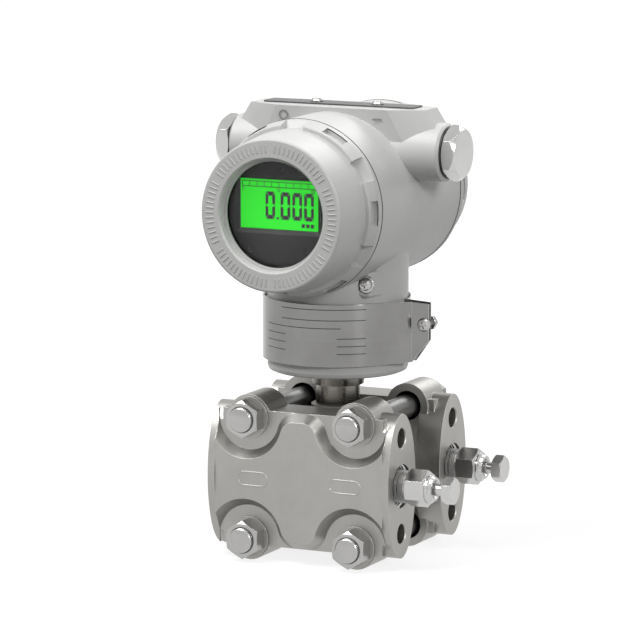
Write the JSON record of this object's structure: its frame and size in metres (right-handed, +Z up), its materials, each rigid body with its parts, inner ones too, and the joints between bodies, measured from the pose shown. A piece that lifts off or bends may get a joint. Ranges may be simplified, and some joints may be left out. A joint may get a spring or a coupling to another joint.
{
  "type": "differential pressure transmitter",
  "caption": "Differential pressure transmitter: two-chamber housing with a lit display, on a sensor block clamped between two process flanges with vent valves.",
  "frame": {"origin": "centre of the process face at the -X ears, midway between the two ports", "axes": "+Z up along the neck, +X from the process face to the vent valves, the display faces -Y"},
  "size_m": [0.1236, 0.1328, 0.1958],
  "materials": {
    "cast_housing": "fine matt powder coat",
    "flange_steel": "bead-blasted cast steel",
    "bright_steel": "turned and polished",
    "bolt_steel": "dull zinc",
    "band_steel": "brushed stainless sheet",
    "window_glass": "clear toughened glass",
    "bezel_plastic": "fine matt",
    "lcd_glass": "lit green panel",
    "seal_rubber": "smooth",
    "board_green": "lacquered board",
    "can_metal": "drawn can",
    "plate_dark": "dark enamel",
    "terminal_plastic": "moulded",
    "terminal_brass": "plated",
    "button_metal": "turned"
  },
  "bodies": {
    "process_block": {"front_flange": "flange_steel", "rear_flange": "flange_steel", "sensor_capsule": "flange_steel", "sensor_stem": "bright_steel", "high_side_gasket": "seal_rubber", "low_side_gasket": "seal_rubber", "high_diaphragm": "bright_steel", "low_diaphragm": "bright_steel", "flange_bolts": "bolt_steel", "flange_nuts": "bright_steel", "flange_washers": "bolt_steel", "front_vent_body": "bright_steel", "rear_vent_body": "bright_steel"},
    "head": {"housing": "cast_housing", "neck_set_screw": "bolt_steel", "display_bezel": "bezel_plastic", "lcd_panel": "lcd_glass", "display_board": "board_green", "electronics_can": "can_metal", "terminal_block": "terminal_plastic", "terminal_screws": "terminal_brass", "left_conduit_plug": "bright_steel", "right_conduit_plug": "bright_steel", "left_plug_seal": "seal_rubber", "right_plug_seal": "seal_rubber", "top_plate": "plate_dark", "top_plate_screws": "bright_steel", "zero_return_pad": "seal_rubber", "span_return_pad": "seal_rubber", "tag_band": "band_steel", "band_screw": "bright_steel", "band_nut": "bright_steel", "ground_washer": "bolt_steel", "ground_screw": "bright_steel"},
    "front_seal_ring": {"front_seal": "seal_rubber"},
    "front_cover_set": {"front_cover": "cast_housing", "window_glass": "window_glass", "window_retainer": "bolt_steel"},
    "rear_seal_ring": {"rear_seal": "seal_rubber"},
    "rear_cover_set": {"rear_cover": "cast_housing"},
    "front_vent_tip": {"front_vent_ball": "bright_steel"},
    "front_vent_key": {"front_vent_stem": "bright_steel"},
    "rear_vent_tip": {"rear_vent_ball": "bright_steel"},
    "rear_vent_key": {"rear_vent_stem": "bright_steel"},
    "zero_key": {"zero_button": "button_metal"},
    "span_key": {"span_button": "button_metal"}
  },
  "joints": [
    {"name": "head_swivel", "type": "hinge", "parent": "process_block", "child": "head", "pos_m": [0.0425, 0, 0.05], "axis": [0, 0, 1], "range_deg": [-180, 180]},
    {"name": "front_cover_slide", "type": "slide", "parent": "head", "child": "front_seal_ring", "axis": [0, -1, 0], "range_m": [0, 0.012]},
    {"name": "front_cover_turn", "type": "hinge", "parent": "front_seal_ring", "child": "front_cover_set", "pos_m": [0.0425, 0, 0.118], "axis": [0, -1, 0], "range_deg": [0, 2880]},
    {"name": "rear_cover_slide", "type": "slide", "parent": "head", "child": "rear_seal_ring", "axis": [0, 1, 0], "range_m": [0, 0.012]},
    {"name": "rear_cover_turn", "type": "hinge", "parent": "rear_seal_ring", "child": "rear_cover_set", "pos_m": [0.0425, 0, 0.118], "axis": [0, 1, 0], "range_deg": [0, 2880]},
    {"name": "front_vent_slide", "type": "slide", "parent": "process_block", "child": "front_vent_tip", "axis": [1, 0, 0], "range_m": [0, 0.002]},
    {"name": "front_vent_turn", "type": "hinge", "parent": "front_vent_tip", "child": "front_vent_key", "pos_m": [0.0425, -0.027, 0], "axis": [1, 0, 0], "range_deg": [0, 720]},
    {"name": "rear_vent_slide", "type": "slide", "parent": "process_block", "child": "rear_vent_tip", "axis": [1, 0, 0], "range_m": [0, 0.002]},
    {"name": "rear_vent_turn", "type": "hinge", "parent": "rear_vent_tip", "child": "rear_vent_key", "pos_m": [0.0425, 0.027, 0], "axis": [1, 0, 0], "range_deg": [0, 720]},
    {"name": "zero_press", "type": "slide", "parent": "head", "child": "zero_key", "axis": [0, 0, -1], "range_m": [0, 0.0015], "stiffness_N_per_m": 400, "springref_m": -0.0005, "deforming": ["zero_return_pad"]},
    {"name": "span_press", "type": "slide", "parent": "head", "child": "span_key", "axis": [0, 0, -1], "range_m": [0, 0.0015], "stiffness_N_per_m": 400, "springref_m": -0.0005, "deforming": ["span_return_pad"]}
  ],
  "couplings": [
    {"joint": "front_cover_slide", "follows": "front_cover_turn", "m_per_rad": 0.00023873},
    {"joint": "rear_cover_slide", "follows": "rear_cover_turn", "m_per_rad": 0.00023873},
    {"joint": "front_vent_turn", "follows": "front_vent_slide", "rad_per_m": 6283.2},
    {"joint": "rear_vent_turn", "follows": "rear_vent_slide", "rad_per_m": 6283.2}
  ]
}
